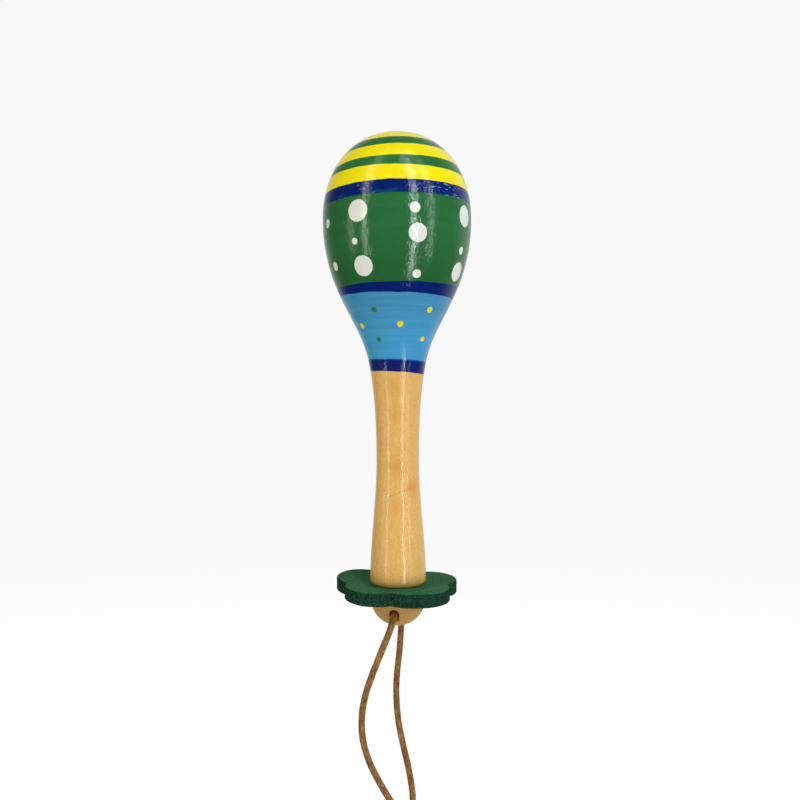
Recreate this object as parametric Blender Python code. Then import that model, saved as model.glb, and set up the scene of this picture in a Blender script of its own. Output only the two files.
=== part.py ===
"""A small painted wooden maraca, 199 mm from crown to knob, as an assembly of separate pieces.

The head is a turned hollow in two halves: a dome (head_upper_shell) and a cup that runs down into
a neck (head_lower_shell). Twenty-four seeds lie on the flat floor of the hollow. The bare wooden
handle plugs into the neck with a tenon. Under the handle a dowel passes through a five-lobed felt
collar into a half-ball knob, and a leather lace runs through a bore across the knob and the dowel.

Frame: metres, +Z up through the crown, origin on the axis at the handle's waist, where a hand
holds it. The lace's bore runs along Y, and its front mouth faces -Y.
"""
import math

import bmesh
import bpy
import numpy as np
from mathutils import Vector

MM = 0.001

# --- driving dimensions, in millimetres ---------------------------------------------------------
GAP = 0.3                       # room left between two pieces that touch

# Outer side of the turned wood from handle foot to head equator: height, radius, dr/dz.
SIDE_KNOTS = (
    (-50.0, 11.35, -0.02),
    (-26.0, 9.87, -0.082),
    (-3.0, 8.61, 0.0),
    (20.0, 9.35, 0.076),
    (36.0, 11.39, 0.178),
    (52.0, 17.25, 0.527),
    (70.0, 25.75, 0.364),
    (94.0, 30.0, 0.0),
)
EQUATOR_Z = 94.0                # height of the widest ring
HEAD_RADIUS = 30.0
CROWN_Z = 129.3                 # top of the head
CROWN_EXPONENT = 2.13           # 2 is an ellipse, more is boxier

WALL = 3.5                      # thickness of the head's wall
SEAM_Z = 101.7                  # joint between dome and cup, under the upper navy ring
TONGUE_HEIGHT = 2.0             # rabbet that centres the dome on the cup
FLOOR_Z = 62.0                  # flat floor that the seeds lie on
FLOOR_FILLET = 2.0
FLOOR_CORNER = 3.0              # height of the rounded corner round the floor

NECK_Z = 33.1                   # head meets handle, at the lower edge of the lowest navy ring
TENON_RADIUS = 5.5
TENON_TOP_Z = 54.0
TENON_CHAMFER = 0.8

FOOT_Z = -52.7                  # underside of the handle, on top of the felt
FOOT_ROUNDING = 2.4
FELT_THICKNESS = 5.3
DOWEL_RADIUS = 3.5
DOWEL_TOP_Z = -38.0
DOWEL_END_Z = -66.4
DOWEL_CHAMFER = 0.5

FLOWER_RADIUS = 26.2            # to the tip of a lobe
NOTCH_RADIUS = 20.8             # to the bottom of a notch between two lobes
FLOWER_CENTRE = (-0.8, 4.5)     # the felt's hole is off the flower's middle by this much
NOTCH_ANGLES = (2.4, 85.4, 156.4, 219.4, 294.9)   # degrees from -Y towards +X

KNOB_RADIUS = 11.1
KNOB_RIM = 0.5                  # width of the eased edge round its flat top
BORE_DROP = 4.6                 # bore's axis below the knob's flat top
BORE_RADIUS = 1.9
SLOT_WIDTH = 3.4                # worn groove that runs down from each mouth of the bore
SLOT_START_Y = 5.2
SLOT_LIP = (7.6, 3.7)           # where the groove ends: distance out, and depth below the axis
SLOT_INNER_DROP = 1.2           # depth of the groove at its inner end

LACE_DIAMETER = 2.6
LACE_STEP = 5.8                 # spacing of the tube's points along its free run
LACE_BEND_STEP = 1.9            # and from the bore to the end of the bend outside it
LACE_BEND_LENGTH = 20.9

# Routes of the lace's two strands, from the middle of the bore to the knot.
FRONT_ROUTE = (
    (0.0, -0.2, -62.9), (0.0, -3.8, -62.9), (0.0, -7.3, -62.9), (-0.1, -10.4, -63.7),
    (-0.4, -12.7, -65.95), (-1.3, -13.7, -69.0), (-2.9, -13.9, -73.0), (-5.6, -13.7, -79.6),
    (-8.5, -13.3, -86.8), (-11.1, -12.6, -94.5), (-12.7, -11.8, -103.0), (-12.6, -10.8, -112.0),
    (-10.6, -9.4, -121.0), (-6.8, -7.4, -130.2), (-2.0, -4.9, -139.6), (3.4, -2.1, -148.6),
)
REAR_ROUTE = (
    (0.0, 0.2, -62.9), (0.0, 3.8, -62.9), (0.0, 7.3, -62.9), (0.0, 10.4, -63.7),
    (-0.2, 12.7, -65.95), (-0.6, 13.7, -69.0), (-1.05, 13.9, -73.7), (-1.4, 13.7, -79.2),
    (-1.8, 13.3, -85.0), (-2.75, 12.6, -94.4), (-2.8, 11.8, -103.0), (-1.8, 10.8, -112.5),
    (0.4, 9.4, -122.0), (3.0, 7.5, -131.0), (4.9, 4.9, -139.6), (5.4, 2.0, -148.0),
)
KNOT_CENTRE = (6.2, 0.0, -151.9)
KNOT_RADII = (5.2, 4.9, 3.9)
TAIL_LENGTH = 13.0
TAIL_START = (1.7, 1.0)         # a tail leaves the knot this far out and this far below its centre
TAIL_SPREAD = (1.4, 3.2)        # and ends this far out along X and Y

SEED_COUNT = 24
SEED_RADIUS = 2.3
SEED_FIELD_RADIUS = 15.4        # the outermost seed's distance from the axis
GOLDEN_ANGLE = math.pi * (3.0 - math.sqrt(5.0))

# --- sizes that follow from them ----------------------------------------------------------------
FELT_TOP_Z = FOOT_Z - GAP / 2
FELT_UNDER_Z = FOOT_Z - FELT_THICKNESS
KNOB_TOP_Z = FELT_UNDER_Z - GAP
BORE_Z = KNOB_TOP_Z - BORE_DROP


# --- turned outlines ----------------------------------------------------------------------------
def side_radius(z):
    """Outer radius of the turned wood at a height below the equator: a cubic between the knots."""
    heights = [knot[0] for knot in SIDE_KNOTS]
    i = min(max(int(np.searchsorted(heights, z)) - 1, 0), len(SIDE_KNOTS) - 2)
    (z0, r0, s0), (z1, r1, s1) = SIDE_KNOTS[i], SIDE_KNOTS[i + 1]
    span = z1 - z0
    t = (z - z0) / span
    return (
        (2 * t**3 - 3 * t**2 + 1) * r0 + (t**3 - 2 * t**2 + t) * span * s0
        + (3 * t**2 - 2 * t**3) * r1 + (t**3 - t**2) * span * s1
    )


def side_outline(z_from, z_to, steps, inset=0.0):
    """(radius, height) points along the side between two heights, moved in by inset."""
    return [(side_radius(z) - inset, z) for z in np.linspace(z_from, z_to, steps)]


def crown_outline(z_from, steps, inset=0.0):
    """(radius, height) points of the dome from a height up to the pole, moved in by inset."""
    radius, rise = HEAD_RADIUS - inset, CROWN_Z - EQUATOR_Z - inset
    power = 2.0 / CROWN_EXPONENT
    first = math.asin(((z_from - EQUATOR_Z) / rise) ** (1.0 / power))
    points = [
        (radius * math.cos(a) ** power, EQUATOR_Z + rise * math.sin(a) ** power)
        for a in np.linspace(first, math.pi / 2, steps)
    ]
    points[-1] = (0.0, EQUATOR_Z + rise)
    return points


def crown_radius(z, inset=0.0):
    """Radius of the dome at a height above the equator, moved in by inset."""
    share = (z - EQUATOR_Z) / (CROWN_Z - EQUATOR_Z - inset)
    return (HEAD_RADIUS - inset) * (1.0 - share**CROWN_EXPONENT) ** (1.0 / CROWN_EXPONENT)


def arc_outline(centre, radius, start_deg, end_deg, steps):
    """(radius, height) points along an arc, with angles from the outward direction."""
    angles = np.radians(np.linspace(start_deg, end_deg, steps))
    return [(centre[0] + radius * math.cos(a), centre[1] + radius * math.sin(a)) for a in angles]


# --- making objects -----------------------------------------------------------------------------
def clear_scene():
    for item in list(bpy.data.objects):
        bpy.data.objects.remove(item, do_unlink=True)


def material(name, colour, roughness, metallic=0.0):
    result = bpy.data.materials.new(name)
    result.use_nodes = True
    shader = result.node_tree.nodes["Principled BSDF"]
    shader.inputs["Base Color"].default_value = (*colour, 1.0)
    shader.inputs["Roughness"].default_value = roughness
    shader.inputs["Metallic"].default_value = metallic
    result.diffuse_color = (*colour, 1.0)
    return result


def empty(name, location=(0.0, 0.0, 0.0), parent=None):
    result = bpy.data.objects.new(name, None)
    bpy.context.scene.collection.objects.link(result)
    result.parent = parent
    result.location = Vector(location) * MM
    return result


def mesh_object(name, mesh, look, parent, smooth_angle=35.0):
    result = bpy.data.objects.new(name, mesh)
    bpy.context.scene.collection.objects.link(result)
    result.parent = parent
    if look is not None and not mesh.materials:
        mesh.materials.append(look)
    mesh.shade_smooth()
    mesh.set_sharp_from_angle(angle=math.radians(smooth_angle))
    return result


def turned(name, outline, segments, look, parent):
    """A lathe-turned piece. The outline runs down the piece's outer side, axis to axis."""
    shape = bmesh.new()
    points = [shape.verts.new((r * MM, 0.0, z * MM)) for r, z in outline]
    for first, second in zip(points, points[1:]):
        shape.edges.new((first, second))
    bmesh.ops.spin(
        shape, geom=shape.verts[:] + shape.edges[:], cent=(0, 0, 0), axis=(0, 0, 1),
        angle=2 * math.pi, steps=segments, use_merge=True,
    )
    bmesh.ops.remove_doubles(shape, verts=shape.verts, dist=0.02 * MM)
    bmesh.ops.recalc_face_normals(shape, faces=shape.faces)
    mesh = bpy.data.meshes.new(name)
    shape.to_mesh(mesh)
    shape.free()
    return mesh_object(name, mesh, look, parent)


def prism(name, outline, low, high, look, parent):
    """A flat outline of (x, y) points made solid between two heights."""
    shape = bmesh.new()
    base = shape.faces.new([shape.verts.new((x * MM, y * MM, low * MM)) for x, y in outline])
    raised = bmesh.ops.extrude_face_region(shape, geom=[base])["geom"]
    rise = Vector((0.0, 0.0, (high - low) * MM))
    bmesh.ops.translate(shape, verts=[v for v in raised if isinstance(v, bmesh.types.BMVert)], vec=rise)
    bmesh.ops.recalc_face_normals(shape, faces=shape.faces)
    mesh = bpy.data.meshes.new(name)
    shape.to_mesh(mesh)
    shape.free()
    return mesh_object(name, mesh, look, parent)


def as_cutter(item):
    item.hide_render = True
    item.display_type = "WIRE"
    return item


def cylinder_cutter(name, radius, length, centre, axis, segments=28):
    shape = bmesh.new()
    bmesh.ops.create_cone(
        shape, cap_ends=True, segments=segments, radius1=radius * MM, radius2=radius * MM,
        depth=length * MM,
    )
    mesh = bpy.data.meshes.new(name)
    shape.to_mesh(mesh)
    shape.free()
    item = as_cutter(mesh_object(name, mesh, None, None))
    item.rotation_mode = "QUATERNION"
    item.rotation_quaternion = Vector((0, 0, 1)).rotation_difference(Vector(axis))
    item.location = Vector(centre) * MM
    return item


def cut(item, cutter, operation="DIFFERENCE"):
    step = item.modifiers.new(cutter.name, "BOOLEAN")
    step.operation = operation
    step.solver = "EXACT"
    step.object = cutter


def smooth_route(points):
    """Points on a Catmull-Rom curve through the given points, closer together in the first bend."""
    route = np.array(points)
    padded = np.vstack([2 * route[0] - route[1], route, 2 * route[-1] - route[-2]])
    dense = []
    for p0, p1, p2, p3 in zip(padded, padded[1:], padded[2:], padded[3:]):
        for t in np.linspace(0.0, 1.0, 24, endpoint=False):
            dense.append(0.5 * (
                2 * p1 + (p2 - p0) * t + (2 * p0 - 5 * p1 + 4 * p2 - p3) * t**2
                + (3 * p1 - p0 - 3 * p2 + p3) * t**3
            ))
    dense = np.array(dense + [route[-1]])
    along = np.concatenate([[0.0], np.cumsum(np.linalg.norm(np.diff(dense, axis=0), axis=1))])
    bend = np.arange(0.0, LACE_BEND_LENGTH, LACE_BEND_STEP)
    run_length = along[-1] - LACE_BEND_LENGTH
    run = np.linspace(LACE_BEND_LENGTH, along[-1], int(round(run_length / LACE_STEP)) + 1)
    stations = np.concatenate([bend, run])
    return np.column_stack([np.interp(stations, along, dense[:, k]) for k in range(3)])


def cord(name, route, diameter, look, parent, origin):
    """A round cord as a curve with a bevel and closed ends."""
    curve = bpy.data.curves.new(name, "CURVE")
    curve.dimensions = "3D"
    curve.bevel_depth = diameter / 2 * MM
    curve.bevel_resolution = 2
    curve.use_fill_caps = True
    points = smooth_route(route)
    spline = curve.splines.new("POLY")
    spline.points.add(len(points) - 1)
    for point, place in zip(spline.points, points):
        point.co = (*((Vector(place) - Vector(origin)) * MM), 1.0)
    curve.materials.append(look)
    result = bpy.data.objects.new(name, curve)
    bpy.context.scene.collection.objects.link(result)
    result.parent = parent
    return result


# --- the pieces ---------------------------------------------------------------------------------
def head_upper_shell(look, parent):
    """The dome. Its rim is stepped to sit over the tongue of the cup."""
    tongue = side_radius(EQUATOR_Z) - WALL + WALL / 2
    outer = crown_outline(SEAM_Z + GAP / 2, 13)
    inner = crown_outline(SEAM_Z + TONGUE_HEIGHT + GAP / 2, 10, inset=WALL)
    step_in = [(tongue, SEAM_Z + GAP / 2), (tongue, SEAM_Z + TONGUE_HEIGHT + GAP / 2)]
    return turned("head_upper_shell", outer[::-1] + step_in + inner, 48, look, parent)


def head_lower_shell(look, parent):
    """The cup and neck, with the seeds' floor above and the handle's socket below."""
    floor_radius = side_radius(FLOOR_Z) - WALL
    corner = arc_outline(
        (floor_radius - FLOOR_FILLET, FLOOR_Z + FLOOR_FILLET), FLOOR_FILLET, -90, -25, 4)
    inner = side_outline(FLOOR_Z + FLOOR_CORNER, EQUATOR_Z, 8, inset=WALL)
    top, ledge = SEAM_Z + TONGUE_HEIGHT - GAP / 2, SEAM_Z - GAP / 2
    tongue = HEAD_RADIUS - WALL / 2 - GAP
    step = [(crown_radius(top, inset=WALL), top), (tongue, top), (tongue, ledge)]
    step += [(crown_radius(z), z) for z in np.linspace(ledge, EQUATOR_Z, 3)[:-1]]
    outer = side_outline(EQUATOR_Z, NECK_Z + GAP / 2, 17)
    socket = [
        (TENON_RADIUS + GAP, NECK_Z + GAP / 2), (TENON_RADIUS + GAP, TENON_TOP_Z + GAP),
        (0.0, TENON_TOP_Z + GAP),
    ]
    outline = [(0.0, FLOOR_Z)] + corner + inner + step + outer + socket
    return turned("head_lower_shell", outline, 48, look, parent)


def handle(look, parent):
    """The bare wooden grip, with a tenon at the top and a blind hole for the dowel below."""
    tenon = [
        (0.0, TENON_TOP_Z), (TENON_RADIUS - TENON_CHAMFER, TENON_TOP_Z),
        (TENON_RADIUS, TENON_TOP_Z - TENON_CHAMFER), (TENON_RADIUS, NECK_Z - GAP / 2),
    ]
    side = side_outline(NECK_Z - GAP / 2, FOOT_Z + FOOT_ROUNDING, 16)
    foot_radius = side[-1][0]
    foot = arc_outline(
        (foot_radius - FOOT_ROUNDING, FOOT_Z + FOOT_ROUNDING), FOOT_ROUNDING, -18, -90, 5)
    hole = [
        (DOWEL_RADIUS + GAP, FOOT_Z), (DOWEL_RADIUS + GAP, DOWEL_TOP_Z + GAP),
        (0.0, DOWEL_TOP_Z + GAP),
    ]
    return turned("handle", tenon + side + foot + hole, 36, look, parent)


def flower_outline(steps_per_lobe):
    """Five round lobes between the notches, each an arc through its two notches and its tip."""
    outline = []
    angles = NOTCH_ANGLES + (NOTCH_ANGLES[0] + 360.0,)
    for first, last in zip(angles, angles[1:]):
        half = math.radians(last - first) / 2
        middle = math.radians(first) + half
        reach = (FLOWER_RADIUS**2 - NOTCH_RADIUS**2) / (
            2 * (FLOWER_RADIUS - NOTCH_RADIUS * math.cos(half)))
        lobe = FLOWER_RADIUS - reach
        sweep = math.pi - math.atan2(NOTCH_RADIUS * math.sin(half), reach - NOTCH_RADIUS * math.cos(half))
        for a in np.linspace(-sweep, sweep, steps_per_lobe, endpoint=False):
            out = reach * Vector((math.sin(middle), -math.cos(middle)))
            out += lobe * Vector((math.sin(middle + a), -math.cos(middle + a)))
            outline.append((FLOWER_CENTRE[0] + out.x, FLOWER_CENTRE[1] + out.y))
    return outline


def felt_collar(look, parent):
    """A thick felt flower, clamped between handle and knob, with a hole for the dowel."""
    item = prism("felt_collar", flower_outline(13), FELT_UNDER_Z, FELT_TOP_Z, look, parent)
    hole = cylinder_cutter(
        "felt_hole", DOWEL_RADIUS + GAP, 20.0, (0, 0, FELT_UNDER_Z), (0, 0, 1))
    cut(item, hole)
    return item


def end_knob(look, parent):
    """A half ball, flat side up, bored across for the lace and drilled from above for the dowel."""
    hole_end = DOWEL_END_Z - GAP
    outline = [
        (0.0, hole_end), (DOWEL_RADIUS + GAP, hole_end), (DOWEL_RADIUS + GAP, KNOB_TOP_Z),
        (KNOB_RADIUS - KNOB_RIM, KNOB_TOP_Z),
    ]
    outline += arc_outline((0.0, KNOB_TOP_Z), KNOB_RADIUS, -2.5, -90, 14)[:-1]
    outline += [(0.0, KNOB_TOP_Z - KNOB_RADIUS)]
    item = turned("end_knob", outline, 36, look, parent)
    cut(item, lace_bore("knob_bore"))
    for side, facing in (("front", -1.0), ("rear", 1.0)):
        cut(item, mouth_slot("slot_" + side, facing))
    return item


def lace_bore(name):
    return cylinder_cutter(name, BORE_RADIUS, 3 * KNOB_RADIUS, (0, 0, BORE_Z), (0, 1, 0), segments=24)


def mouth_slot(name, facing):
    """The worn groove under one mouth of the bore, drawn in YZ and extruded across X."""
    lip_out, lip_down = SLOT_LIP
    far = KNOB_RADIUS + 2.0
    side = [
        (SLOT_START_Y, 0.0), (far, 0.0), (far, -lip_down - 1.0), (lip_out + 0.4, -lip_down - 0.2),
        (lip_out, -lip_down), (SLOT_START_Y, -SLOT_INNER_DROP),
    ]
    shape = bmesh.new()
    corners = [
        shape.verts.new((-SLOT_WIDTH / 2 * MM, facing * y * MM, (BORE_Z + z) * MM)) for y, z in side
    ]
    face = shape.faces.new(corners)
    raised = bmesh.ops.extrude_face_region(shape, geom=[face])["geom"]
    across = Vector((SLOT_WIDTH * MM, 0.0, 0.0))
    bmesh.ops.translate(shape, verts=[v for v in raised if isinstance(v, bmesh.types.BMVert)], vec=across)
    bmesh.ops.recalc_face_normals(shape, faces=shape.faces)
    mesh = bpy.data.meshes.new(name)
    shape.to_mesh(mesh)
    shape.free()
    return as_cutter(mesh_object(name, mesh, None, None))


def knob_dowel(look, parent):
    """The pin that holds knob, felt and handle together, cross-bored in line with the knob."""
    end_radius = DOWEL_RADIUS - DOWEL_CHAMFER
    outline = [
        (0.0, DOWEL_TOP_Z), (end_radius, DOWEL_TOP_Z),
        (DOWEL_RADIUS, DOWEL_TOP_Z - DOWEL_CHAMFER), (DOWEL_RADIUS, DOWEL_END_Z + DOWEL_CHAMFER),
        (end_radius, DOWEL_END_Z), (0.0, DOWEL_END_Z),
    ]
    item = turned("knob_dowel", outline, 24, look, parent)
    cut(item, lace_bore("dowel_bore"))
    return item


def lace_knot(look, parent, origin):
    """The overhand knot that joins the lace's ends, as one lump with its two short tails."""
    shape = bmesh.new()
    bmesh.ops.create_icosphere(shape, subdivisions=3, radius=1.0)
    for vert in shape.verts:
        vert.co = Vector([c * r * MM for c, r in zip(vert.co, KNOT_RADII)])
    mesh = bpy.data.meshes.new("lace_knot")
    shape.to_mesh(mesh)
    shape.free()
    item = mesh_object("lace_knot", mesh, look, parent)
    item.location = (Vector(KNOT_CENTRE) - Vector(origin)) * MM
    for side, facing in (("front", -1.0), ("rear", 1.0)):
        start = Vector((0.0, facing * TAIL_START[0], -TAIL_START[1]))
        end = Vector((facing * TAIL_SPREAD[0], facing * TAIL_SPREAD[1], -TAIL_LENGTH))
        middle = Vector(KNOT_CENTRE) + (start + end) / 2
        tail = cylinder_cutter(
            "tail_" + side, LACE_DIAMETER / 2, (end - start).length, middle, (end - start), segments=10)
        cut(item, tail, operation="UNION")
    return item


def seeds(look, parent):
    """Dry round seeds in one layer on the floor, spread like a sunflower's."""
    shape = bmesh.new()
    bmesh.ops.create_icosphere(shape, subdivisions=2, radius=SEED_RADIUS * MM)
    mesh = bpy.data.meshes.new("seed")
    shape.to_mesh(mesh)
    shape.free()
    rest_z = FLOOR_Z + GAP / 2 + SEED_RADIUS
    spread = SEED_FIELD_RADIUS / math.sqrt(SEED_COUNT - 0.5)
    for i in range(SEED_COUNT):
        distance, turn = spread * math.sqrt(i + 0.5), i * GOLDEN_ANGLE
        item = mesh_object(f"seed_{i + 1:02d}", mesh, look, parent, smooth_angle=60.0)
        item.location = Vector((distance * math.cos(turn), distance * math.sin(turn), rest_z)) * MM


def main():
    clear_scene()
    painted = material("painted_wood_green", (0.026, 0.155, 0.044), 0.3)
    painted_cup = material("painted_wood_blue", (0.055, 0.26, 0.49), 0.3)
    bare = material("varnished_wood", (0.70, 0.40, 0.13), 0.35)
    felt = material("green_felt", (0.03, 0.13, 0.05), 0.95)
    leather = material("brown_leather", (0.26, 0.13, 0.035), 0.7)
    seed = material("dry_seed", (0.22, 0.12, 0.05), 0.5)

    maraca = empty("maraca")
    bore_centre = (0.0, 0.0, BORE_Z)
    lace_pivot = empty("lace_pivot", bore_centre, maraca)

    head_upper_shell(painted, maraca)
    head_lower_shell(painted_cup, maraca)
    handle(bare, maraca)
    felt_collar(felt, maraca)
    end_knob(bare, maraca)
    knob_dowel(bare, maraca)
    cord("lace_front", FRONT_ROUTE, LACE_DIAMETER, leather, lace_pivot, bore_centre)
    cord("lace_rear", REAR_ROUTE, LACE_DIAMETER, leather, lace_pivot, bore_centre)
    lace_knot(leather, lace_pivot, bore_centre)
    seeds(seed, maraca)


main()
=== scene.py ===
"""The looks of a small painted wooden maraca: every visible piece, its material, the light and the camera.

Lengths are millimetres until the last moment (MM), angles are degrees, and heights are measured along
the maraca's axis from the handle's waist. Angles round the axis run from -Y towards +X.
"""
import math

import bmesh
import bpy
import numpy as np
from mathutils import Matrix, Vector, noise


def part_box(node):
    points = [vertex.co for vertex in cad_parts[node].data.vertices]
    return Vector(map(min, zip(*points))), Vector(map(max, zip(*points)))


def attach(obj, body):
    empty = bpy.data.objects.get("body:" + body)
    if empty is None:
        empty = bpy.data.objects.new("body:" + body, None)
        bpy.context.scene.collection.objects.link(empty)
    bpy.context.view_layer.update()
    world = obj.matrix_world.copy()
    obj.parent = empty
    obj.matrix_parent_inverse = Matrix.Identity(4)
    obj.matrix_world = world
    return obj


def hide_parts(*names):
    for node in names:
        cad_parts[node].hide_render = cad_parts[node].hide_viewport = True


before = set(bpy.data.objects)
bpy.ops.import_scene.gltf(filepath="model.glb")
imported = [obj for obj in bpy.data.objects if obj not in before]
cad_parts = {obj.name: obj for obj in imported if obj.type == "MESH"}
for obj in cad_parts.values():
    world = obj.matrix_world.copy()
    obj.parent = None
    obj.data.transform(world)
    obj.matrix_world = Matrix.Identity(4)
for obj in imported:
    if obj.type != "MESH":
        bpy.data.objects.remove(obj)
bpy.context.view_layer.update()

MM = 0.001
TAU = 2.0 * math.pi

# --- the camera ---
VIEW_ANGLE = 9.4                # the camera stands this far round the axis
VIEW_DISTANCE = 356.7
VIEW_HEIGHT = 22.5
LENS, SENSOR = 39.6, 36.0
AIM_RIGHT, AIM_HEIGHT = 1.0, 21.7
VIEW_ROLL = 0.17

# --- sizes read from the frame ---
CROWN_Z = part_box("head_upper_shell")[1].z / MM
SEAM_Z = 101.7
NECK_Z = 33.1
FOOT_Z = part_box("felt_collar")[1].z / MM + 0.15
FELT_TOP_Z = FOOT_Z - 0.02
FELT_UNDER_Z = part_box("felt_collar")[0].z / MM
KNOB_TOP_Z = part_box("end_knob")[1].z / MM
HEAD_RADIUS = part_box("head_lower_shell")[1].x / MM

# --- the turned outline, as in the CAD model ---
SIDE_KNOTS = (                  # height, radius, slope
    (-50.0, 11.35, -0.02),
    (-26.0, 9.87, -0.082),
    (-3.0, 8.61, 0.0),
    (20.0, 9.35, 0.076),
    (36.0, 11.39, 0.178),
    (52.0, 17.25, 0.527),
    (70.0, 25.75, 0.364),
    (94.0, 30.0, 0.0),
)
EQUATOR_Z = 94.0
CROWN_EXPONENT = 2.13
WALL = 3.5
TONGUE_HEIGHT = 2.0
FLOOR_Z = 62.0
FLOOR_FILLET = 2.0
FLOOR_CORNER = 3.0
TENON_RADIUS, TENON_TOP_Z, TENON_CHAMFER = 5.5, 54.0, 0.8
FOOT_ROUNDING = 2.4
DOWEL_RADIUS, DOWEL_TOP_Z, DOWEL_END_Z = 3.5, -38.0, -66.4
FIT = 0.3
HEAD_SEGMENTS, HANDLE_SEGMENTS, KNOB_SEGMENTS = 256, 192, 160      # faces round the axis

# --- the felt flower ---
FLOWER_RADIUS = 25.8
NOTCH_RADIUS = 20.8
FLOWER_CENTRE = (-1.2, 4.45)
NOTCH_ANGLES = (3.0, 87.0, 156.4, 219.4, 296.4)
FELT_HOLE_RADIUS = DOWEL_RADIUS + FIT
FELT_EDGE_ROUNDING = 0.6
CLAMP_RADIUS = 10.5             # inside this, knob and handle hold the felt flat
FELT_LEAN = 3.0                 # degrees that the free part leans, up on the camera's left
FELT_PITCH = 3.1                # and up at the back
FELT_CURL = 0.0018              # and its edge curls up, times the millimetres beyond the clamp squared
FELT_SWELL = (0.09, 0.25)       # broad unevenness: periods per millimetre, height
FELT_MATTING = ((1.3, 0.06), (3.1, 0.035))      # and the same for its matted fibres
LOBE_STEPS = 96                 # points round one lobe
FELT_FACE_STEPS, FELT_ROUNDING_STEPS, FELT_WALL_STEPS = 44, 7, 12   # points round the section

# --- the knob and its bore ---
KNOB_RADIUS = 11.1
BORE_RADIUS = 1.9
BORE_Z = KNOB_TOP_Z - 4.6
SLOT_WIDTH = 3.4
SLOT_START_Y = 5.2
SLOT_LIP = (7.6, 3.7)

# --- the lace ---
LACE_DIAMETER = 2.6
LACE_STEP = 0.3                 # length of one ring of faces along a strand
FRONT_ROUTE = (
    (0.0, -0.2, -62.9), (0.0, -3.8, -62.9), (0.0, -7.3, -62.9), (-0.1, -10.4, -63.7),
    (-0.4, -12.7, -65.95), (-1.3, -13.7, -69.0), (-2.9, -13.9, -73.0), (-5.6, -13.7, -79.6),
    (-8.5, -13.3, -86.8), (-11.1, -12.6, -94.5), (-12.7, -11.8, -103.0), (-12.6, -10.8, -112.0),
    (-10.6, -9.4, -121.0), (-6.8, -7.4, -130.2), (-2.0, -4.9, -139.6), (3.4, -2.1, -148.6),
)
REAR_ROUTE = (
    (0.0, 0.2, -62.9), (0.0, 3.8, -62.9), (0.0, 7.3, -62.9), (0.0, 10.4, -63.7),
    (-0.2, 12.7, -65.95), (-0.6, 13.7, -69.0), (-1.05, 13.9, -73.7), (-1.4, 13.7, -79.2),
    (-1.8, 13.3, -85.0), (-2.75, 12.6, -94.4), (-2.8, 11.8, -103.0), (-1.8, 10.8, -112.5),
    (0.4, 9.4, -122.0), (3.0, 7.5, -131.0), (4.9, 4.9, -139.6), (5.4, 2.0, -148.0),
)
BORE_MOUTH_Y = 10.1             # where the lace leaves the knob, in front and behind
KNOT_CENTRE = (6.2, 0.0, -151.9)
KNOT_TURNS = (                  # the pair of strands, from the top of the knot to the tails
    (-0.9, 0.0, 2.6), (0.3, -0.6, 0.8), (1.4, -2.0, -0.9), (0.4, -3.0, -2.0),
    (-1.9, -2.6, -1.6), (-3.1, -0.4, -0.6), (-2.4, 2.2, 0.6), (-0.1, 3.1, 1.4), (2.3, 2.3, 1.2),
    (3.1, 0.0, 0.4), (1.9, -0.6, -1.6), (0.7, -0.2, -3.4), (0.4, 0.0, -6.2), (0.6, 0.0, -9.6),
    (0.8, 0.0, -12.6),
)
KNOT_HALF_GAP, TAIL_SPREAD = 0.9, 1.8   # half the gap between the strands, and how far the tails part
TAILS_FROM = 0.75                       # share of the way along at which the tails begin
KNOT_SLIMMING = 0.97                    # the strands are pulled thinner in the knot

# --- the seeds ---
SEED_COUNT = 24
SEED_RADIUS = 2.3
DIMPLE_FROM = 0.86              # height on a unit seed from which its top dips in

# --- painted rings: height of each edge in front, and its rise towards the camera's right ---
RING_FRONT_RISE = 0.45           # every ring is this much higher in front than at its sides
RING_EDGES = {
    "cap": (123.35, 0.3),
    "upper_green": (119.6, 0.5),
    "upper_yellow": (114.3, 0.5),
    "lower_green": (110.25, 0.0),
    "lower_yellow": (104.2, 0.4),
    "upper_navy": (99.05, 0.55),
    "green_field": (66.7, 0.2),
    "middle_navy": (62.85, -0.55),
    "blue_field": (37.9, -0.6),
    "lower_navy": (32.9, -0.75),
}
PAINT_EDGE, DOT_EDGE = 0.07, 0.05        # half the width over which a paint's edge fades

# Heights between which the finish changes. The first pair darkens the light blue upwards with painted
# shade.
BLUE_SHADE_HEIGHTS, GREEN_LIGHTENS = (44.0, 60.0), (68.0, 92.0)
STEADIER_BRUSH, SMOOTHER_CROWN = (106.0, 124.0), (117.0, 126.0)

# Where the upper navy ring is thin and where it is scuffed: angle, height.
TEAL_PLACE, SCUFF_PLACE = (4.0, 100.0), (48.0, 101.6)

# White dots on the green field: angle round the axis, height, diameter.
WHITE_DOTS = (
    (-55.3, 90.7, 3.5), (-53.7, 74.0, 3.6), (-20.4, 93.0, 8.3), (-24.2, 81.8, 2.5),
    (-19.5, 72.6, 8.0), (22.4, 93.6, 4.1), (24.9, 84.3, 7.2), (26.3, 69.4, 3.3),
    (71.0, 93.1, 8.4), (70.2, 79.8, 3.1), (72.2, 71.8, 7.7),
    (117.0, 92.2, 3.9), (120.0, 82.6, 7.4), (116.0, 71.0, 3.5), (161.0, 92.6, 8.0),
    (164.0, 80.6, 3.0), (160.0, 72.4, 7.6), (206.0, 93.2, 4.0), (203.0, 83.0, 7.6),
    (207.0, 70.4, 3.4), (252.0, 91.4, 8.1), (256.0, 80.2, 2.8), (253.0, 71.6, 7.4),
)
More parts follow.
